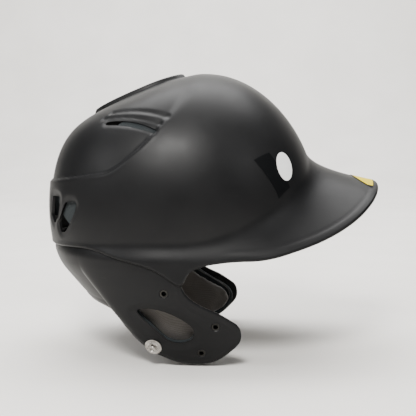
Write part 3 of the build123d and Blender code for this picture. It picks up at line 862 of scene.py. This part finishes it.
DOME_PADS = [
    ("crown", (-42, 52), (-56, 56)),
    ("front", (62, 114), (-62, 62)),
    ("rear", (-222, -140), (-54, 54)),
    ("side_left", (-98, 56), (66, 182)),
    ("side_right", (-98, 56), (-182, -66)),
    ("rear_side_left", (-194, -108), (62, 118)),
    ("rear_side_right", (-194, -108), (-118, -62)),
]
PAD_MARGIN = 5.0
PAD_SQUEEZE = 0.45            # how far a pad's corners are drawn in
PAD_GAP = 0.6
LAYER_GAP = 0.4
FOAM_TOP = WALL + PAD_GAP + 11.0 + LAYER_GAP        # depths below the skin, to the foam's top
EAR_FOAM_TOP = WALL + PAD_GAP + 7.0 + LAYER_GAP


def squared(wave):
    """A circle's coordinate, pushed out toward a square's."""
    return np.sign(wave) * np.minimum(1, np.abs(wave) * 1.32) ** 0.8


def make_pad_seams():
    """The sewn edge round each cover."""
    seams = []
    for name, (p0, p1), (q0, q1) in DOME_PADS:
        a = np.linspace(0, 2 * math.pi, 160, endpoint=False)
        u = squared(np.cos(a))
        v = squared(np.sin(a))
        p = (p0 + p1) / 2 + ((p1 - p0) / 2 - PAD_MARGIN) * u * np.sqrt(1 - PAD_SQUEEZE * v * v)
        q = (q0 + q1) / 2 + ((q1 - q0) / 2 - PAD_MARGIN) * v * np.sqrt(1 - PAD_SQUEEZE * u * u)
        points, _ = dome_points(p, q, FOAM_TOP + 0.9)
        seams.append(closed_cord(name + "_pad_seam", points, 0.55))
    x, z = smooth_path(EAR_COMFORT, 180, closed=True).T
    points, _ = flap_points(flap_angle(x, z), z, EAR_FOAM_TOP + 1.0)
    right = closed_cord("ear_pad_seam_right", points, 0.6)
    seams += [right, mirrored(right, "ear_pad_seam_left")]
    return seams


# ---- hardware
SNAP_RIM = [(-0.3, 0), (0, 0.3), (0, 0.7), (-0.4, 1.0), (-1.4, 1.05), (-1.9, 0.8), (-2.3, 0.7)]
SNAP_STUD = [(4.9, 0.8), (4.5, 1.4), (4.1, 1.6), (3.7, 1.4), (3.4, 1.0), (2.6, 1.1), (2.5, 2.4),
             (2.7, 2.8), (3.0, 3.3), (2.95, 3.8), (2.6, 4.15), (2.0, 4.2), (1.7, 3.8), (1.5, 3.0)]


def make_snap(side):
    """Outer half of the press stud: a cap with a rolled rim, and the stud in its middle."""
    profile = [(0, 0)] + [(SNAP_CAP_R + r, h) for r, h in SNAP_RIM] + SNAP_STUD + [(0, 2.9)]
    profile = [(r, h - SNAP_SUNK) for r, h in profile]
    snap = shade(turned_on_flap("snap_stud_turned_" + side, SNAP_AT, profile, 64), 50)
    if side == "left":
        flipped = mirrored(snap, "snap_stud_turned_left_side")
        bpy.data.objects.remove(snap)
        snap = flipped
    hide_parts("snap_stud_" + side)
    return snap


# ---- labels
def film(name, p, q, thick=0.35, lift=0.08):
    """Printed film on the dome over a grid of travels, with a UV map across it."""
    rows, columns = p.shape
    top, _ = dome_points(p, q, -(lift + thick))
    base, _ = dome_points(p, q, -lift)
    points = np.concatenate([top.reshape(-1, 3), base.reshape(-1, 3)])
    n = rows * columns
    faces = sheet_faces(rows, columns)
    i, k = grid_border(rows, columns)
    ids = i * columns + k
    faces += band_faces(ids, ids + n)
    obj = mesh_object(name, points, faces)
    layer = obj.data.uv_layers.new(name="film")
    u, v = np.meshgrid(np.linspace(0, 1, columns), np.linspace(0, 1, rows))
    uv = np.stack([u.ravel(), v.ravel()], axis=1)
    uv = np.concatenate([uv, uv])
    loops = np.empty(len(obj.data.loops), dtype=np.int32)
    obj.data.loops.foreach_get("vertex_index", loops)
    layer.data.foreach_set("uv", uv[loops].ravel())
    return shade(face_outward(obj, weld=False), 40)


def corner_grid(corners, rows, columns):
    """Grid of travels between four (p, q) corners given in order round the patch."""
    a, b, c, d = (np.array(x, float) for x in corners)
    s = np.linspace(0, 1, rows)[:, None, None]
    t = np.linspace(0, 1, columns)[None, :, None]
    grid = (1 - s) * ((1 - t) * a + t * b) + s * ((1 - t) * d + t * c)
    return grid[..., 0], grid[..., 1]


DOME_LABEL = [(58, -114), (74, -97), (113, -104), (103, -125)]
DISC_AT = (97.0, -94.0)
DISC_R = 12.5
DISC_EYE_R = 0.02             # the disc's middle stays open by this, too little to see
BRIM_LABEL_BOW = 0.0012


def make_labels():
    p, q = corner_grid(DOME_LABEL, 16, 24)
    patch = film("front_label_patch", p, q)
    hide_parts("front_label")
    a = np.linspace(0, 2 * math.pi, 65)[:, None]
    r = np.linspace(DISC_EYE_R, DISC_R, 9)[None, :]
    disc = film("front_label_disc", DISC_AT[0] + r * np.cos(a), DISC_AT[1] + r * np.sin(a), 0.3, 0.45)
    q = np.linspace(-BRIM_LABEL_HALF, BRIM_LABEL_HALF, 49)[:, None]
    share = np.linspace(0, 1, 9)[None, :]
    outer = BRIM_LABEL_OUTER - BRIM_LABEL_BOW * q * q
    inner = outer - 20 * (1 - (q / (BRIM_LABEL_HALF + 0.5)) ** 2) - 1.0
    crescent = film("brim_label_crescent", inner + (outer - inner) * share, np.broadcast_to(q, (49, 9)))
    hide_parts("brim_label")
    return patch, disc, crescent


# ---- materials
class Nodes:
    """Short ways to add nodes to one material."""

    def __init__(self, name):
        self.material = bpy.data.materials.new(name)
        self.material.use_nodes = True
        self.tree = self.material.node_tree
        self.shader = self.tree.nodes["Principled BSDF"]
        self.where = self.tree.nodes.new("ShaderNodeTexCoord")

    def link(self, a, b):
        self.tree.links.new(a, b)

    def feed(self, value, socket):
        """Set a number or a colour on a socket, or link another node's output to it."""
        if isinstance(value, (int, float)):
            socket.default_value = value
        elif isinstance(value, tuple):
            socket.default_value = value + (1.0,)
        else:
            self.link(value, socket)

    def textured(self, kind, scale):
        """Texture or mapping node over the object's own coordinates."""
        node = self.tree.nodes.new("ShaderNode" + kind)
        node.inputs["Scale"].default_value = scale
        self.link(self.where.outputs["Object"], node.inputs["Vector"])
        return node

    def noise(self, scale, detail=3.0, rough=0.5, stretch=(1, 1, 1)):
        mapping = self.textured("Mapping", stretch)
        node = self.textured("TexNoise", scale)
        node.inputs["Detail"].default_value = detail
        node.inputs["Roughness"].default_value = rough
        self.link(mapping.outputs["Vector"], node.inputs["Vector"])
        return node.outputs["Fac"]

    def cells(self, scale):
        return self.textured("TexVoronoi", scale).outputs["Distance"]

    def wave(self, scale, direction, distortion):
        node = self.textured("TexWave", scale)
        node.bands_direction = direction
        node.inputs["Distortion"].default_value = distortion
        return node.outputs["Fac"]

    def ramp(self, value, low, high, to_low=0.0, to_high=1.0):
        node = self.tree.nodes.new("ShaderNodeMapRange")
        node.inputs["From Min"].default_value = low
        node.inputs["From Max"].default_value = high
        node.inputs["To Min"].default_value = to_low
        node.inputs["To Max"].default_value = to_high
        self.link(value, node.inputs["Value"])
        return node.outputs["Result"]

    def math(self, operation, a, b):
        node = self.tree.nodes.new("ShaderNodeMath")
        node.operation = operation
        for socket, value in zip(node.inputs, (a, b)):
            self.feed(value, socket)
        return node.outputs[0]

    def mix(self, share, a, b):
        node = self.tree.nodes.new("ShaderNodeMix")
        node.data_type = "RGBA"
        self.link(share, node.inputs["Factor"])
        self.feed(a, node.inputs[6])
        self.feed(b, node.inputs[7])
        return node.outputs[2]

    def bump(self, height, depth, strength, under=None):
        node = self.tree.nodes.new("ShaderNodeBump")
        node.inputs["Strength"].default_value = strength
        node.inputs["Distance"].default_value = depth
        self.link(height, node.inputs["Height"])
        if under is not None:
            self.link(under, node.inputs["Normal"])
        return node.outputs["Normal"]

    def finish(self, colour, rough, normal, **constants):
        self.link(colour, self.shader.inputs["Base Color"])
        self.link(rough, self.shader.inputs["Roughness"])
        self.link(normal, self.shader.inputs["Normal"])
        for name, value in constants.items():
            self.shader.inputs[name.replace("_", " ")].default_value = value
        return self.material


def moulded_plastic():
    n = Nodes("moulded_matte_plastic")
    mottle = n.ramp(n.noise(16, 4), 0.35, 0.65)
    colour = n.mix(mottle, (0.0042, 0.0043, 0.0047), (0.0066, 0.0067, 0.0071))
    dust = n.ramp(n.noise(900, 2, 0.6), 0.70, 0.82, 0.0, 0.06)
    colour = n.mix(dust, colour, (0.20, 0.195, 0.19))
    scuff = n.ramp(n.noise(70, 5, 0.62, (1.0, 1.0, 7.0)), 0.66, 0.74, 0.0, 0.035)
    colour = n.mix(scuff, colour, (0.12, 0.12, 0.12))
    rough = n.ramp(n.noise(38, 4), 0.3, 0.7, 0.38, 0.46)
    grain = n.bump(n.noise(1500, 2), 0.00006, 0.55)
    wavy = n.bump(n.noise(22, 2), 0.0006, 0.12, grain)
    return n.finish(colour, rough, wavy, Specular_IOR_Level=0.16)


def foam_material():
    n = Nodes("closed_cell_foam")
    pores = n.cells(900)
    colour = n.mix(n.ramp(n.noise(60, 3), 0.35, 0.65), (0.0045, 0.0075, 0.009), (0.009, 0.0135, 0.0155))
    colour = n.mix(n.ramp(pores, 0.0, 0.35, 0.6, 0.0), colour, (0.008, 0.010, 0.012))
    rough = n.ramp(n.noise(80, 2), 0.3, 0.7, 0.82, 0.95)
    return n.finish(colour, rough, n.bump(pores, 0.0003, 0.6))


def fabric_material(name, dark, light):
    n = Nodes(name)
    warp = n.wave(460, "X", 1.6)
    weft = n.wave(460, "Z", 1.6)
    side = n.wave(460, "Y", 1.6)
    weave = n.math("MULTIPLY", n.math("ADD", warp, side), weft)
    tone = n.ramp(n.noise(26, 4), 0.3, 0.7)
    colour = n.mix(tone, dark, light)
    shadow = n.ramp(weave, 0.0, 1.2, 0.18, 0.0)
    colour = n.mix(shadow, colour, (0.006, 0.006, 0.006))
    fuzz = n.bump(n.noise(2600, 3), 0.0002, 0.5)
    rough = n.ramp(n.noise(150, 2), 0.3, 0.7, 0.84, 0.97)
    return n.finish(colour, rough, n.bump(weave, 0.0002, 0.6, fuzz), Sheen_Weight=0.35, Sheen_Roughness=0.5)


def thread_material():
    n = Nodes("seam_thread")
    twist = n.wave(900, "DIAGONAL", 0.5)
    colour = n.mix(twist, (0.028, 0.027, 0.027), (0.075, 0.072, 0.070))
    rough = n.ramp(n.noise(300, 2), 0.3, 0.7, 0.7, 0.9)
    return n.finish(colour, rough, n.bump(twist, 0.0002, 0.7))


def metal_material(name, dark, light, low, high):
    n = Nodes(name)
    worn = n.ramp(n.noise(240, 4, 0.6), 0.35, 0.7)
    colour = n.mix(worn, light, dark)
    lines = n.noise(600, 3, 0.6, (1, 1, 6))
    rough = n.ramp(n.noise(420, 3), 0.3, 0.7, low, high)
    return n.finish(colour, rough, n.bump(lines, 0.00004, 0.4), Metallic=1.0)


def film_material(name, face, edge, border):
    """Printed film: an even face with a border of the given share round it."""
    n = Nodes(name)
    split = n.tree.nodes.new("ShaderNodeSeparateXYZ")
    n.link(n.where.outputs["UV"], split.inputs[0])
    gaps = []
    for axis in ("X", "Y"):
        there = split.outputs[axis]
        gaps.append(n.math("MINIMUM", there, n.math("SUBTRACT", 1.0, there)))
    share = n.ramp(n.math("MINIMUM", gaps[0], gaps[1]), border, border + 0.01)
    colour = n.mix(share, edge, face)
    colour = n.mix(n.ramp(n.noise(90, 3), 0.55, 0.8, 0.0, 0.25), colour, tuple(0.7 * c for c in face))
    rough = n.ramp(n.noise(200, 3), 0.3, 0.7, 0.48, 0.60)
    return n.finish(colour, rough, n.bump(n.noise(1200, 2), 0.00003, 0.4), Specular_IOR_Level=0.08)


def paint(obj, material):
    obj.data.materials.clear()
    obj.data.materials.append(material)


def paint_node(node, material):
    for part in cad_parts[node].material_slots:
        part.material = material


# ---- the scene
def aim(obj, at, look):
    """Stand a light or a camera somewhere, in metres, and turn it to look at a place."""
    obj.location = at
    obj.rotation_euler = (Vector(look) - Vector(at)).to_track_quat("-Z", "Y").to_euler()


def area_light(name, at, look, size, power, colour=(1, 1, 1)):
    data = bpy.data.lights.new(name, "AREA")
    data.size = size
    data.energy = power
    data.color = colour
    aim(placed(name, data), at, look)


FLOOR_DROP = 0.2              # keeps the floor clear of the helmet's lowest edge


def make_floor():
    """Pale floor that rises softly into a backdrop well behind the helmet."""
    profile = [(-6000.0, 0.0), (-900.0, 0.0), (1500.0, 0.0), (1950.0, 30.0), (2300.0, 170.0),
               (2520.0, 520.0), (2620.0, 1200.0), (2650.0, 3200.0)]
    path = smooth_path(profile, 90)
    across = (-3600.0, -1200.0, 1200.0, 3600.0)
    points = [(x, y, z - FLOOR_DROP) for y, z in path for x in across]
    floor = shade(mesh_object("floor", points, grid_faces(len(path), 4)), 80)
    n = Nodes("pale_floor")
    colour = n.mix(n.ramp(n.noise(6, 3), 0.35, 0.65), (0.755, 0.735, 0.70), (0.80, 0.78, 0.745))
    rough = n.ramp(n.noise(30, 3), 0.3, 0.7, 0.75, 0.9)
    paint(floor, n.finish(colour, rough, n.bump(n.noise(300, 3), 0.0003, 0.3)))


CAMERA_TARGET = (-0.005, 0.0, 0.127)
CAMERA_FROM = (0.0084, -0.7663, 0.2008)
CAMERA_LENS = 70.6


def make_camera():
    data = bpy.data.cameras.new("camera")
    data.lens = CAMERA_LENS
    data.sensor_width = 36.0
    data.clip_start = 0.01
    camera = placed("camera", data)
    aim(camera, CAMERA_FROM, CAMERA_TARGET)
    bpy.context.scene.camera = camera


def make_world():
    world = bpy.data.worlds.new("soft_room")
    world.use_nodes = True
    background = world.node_tree.nodes["Background"]
    background.inputs["Color"].default_value = (0.93, 0.94, 1.0, 1.0)
    background.inputs["Strength"].default_value = 0.09
    bpy.context.scene.world = world


shell = make_shell()
paint(shell, moulded_plastic())

foam_look = foam_material()
for foam in make_foams():
    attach(foam, "root")
    paint(foam, foam_look)

pad_look = fabric_material("pad_knit", (0.066, 0.059, 0.053), (0.098, 0.088, 0.079))
for pad in make_comfort_pads():
    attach(pad, "root")
    paint(pad, pad_look)

thread_look = thread_material()
for seam in make_pad_seams():
    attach(seam, "root")
    paint(seam, thread_look)

nickel = metal_material("worn_nickel", (0.26, 0.245, 0.225), (0.56, 0.54, 0.51), 0.22, 0.42)
# zinc plate with painted shade: the nuts are coloured near black, darker than zinc, to stand in for the
# shade inside their bores
nut_zinc_painted_shade = metal_material("zinc_plate_painted_shade", (0.018, 0.018, 0.017), (0.05, 0.048, 0.044), 0.35, 0.5)
for side in ("right", "left"):
    snap = make_snap(side)
    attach(snap, "root")
    paint(snap, nickel)
    paint_node("snap_rivet_" + side, nickel)
    paint_node("faceguard_nuts_" + side, nut_zinc_painted_shade)

patch, disc, crescent = make_labels()
paint(patch, film_material("dark_film", (0.0015, 0.0018, 0.0022), (0.004, 0.0045, 0.005), 0.01))
paint(disc, film_material("pale_film", (0.80, 0.80, 0.79), (0.80, 0.80, 0.79), 0.001))
paint(crescent, film_material("yellow_film", (0.60, 0.46, 0.004), (0.006, 0.006, 0.006), 0.05))
for label in (patch, disc, crescent):
    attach(label, "root")

make_floor()
make_camera()
make_world()
area_light("key_softbox", (-0.17, -0.95, 1.02), (-0.04, 0.0, 0.14), 0.34, 25.0, (1.0, 0.985, 0.96))
area_light("ceiling_softbox", (0.0, 0.25, 1.70), (0.0, 0.1, 0.1), 1.5, 22.0, (1.0, 0.985, 0.965))
area_light("rear_strip", (-1.0, -0.6, 0.75), (0.0, 0.0, 0.12), 0.5, 5.0)
area_light("brim_fill", (1.0, -0.9, 0.9), (0.05, 0.0, 0.12), 0.5, 4.0)
area_light("backdrop_wash", (0.0, 1.1, 2.3), (0.0, 2.3, 0.6), 2.4, 150.0)
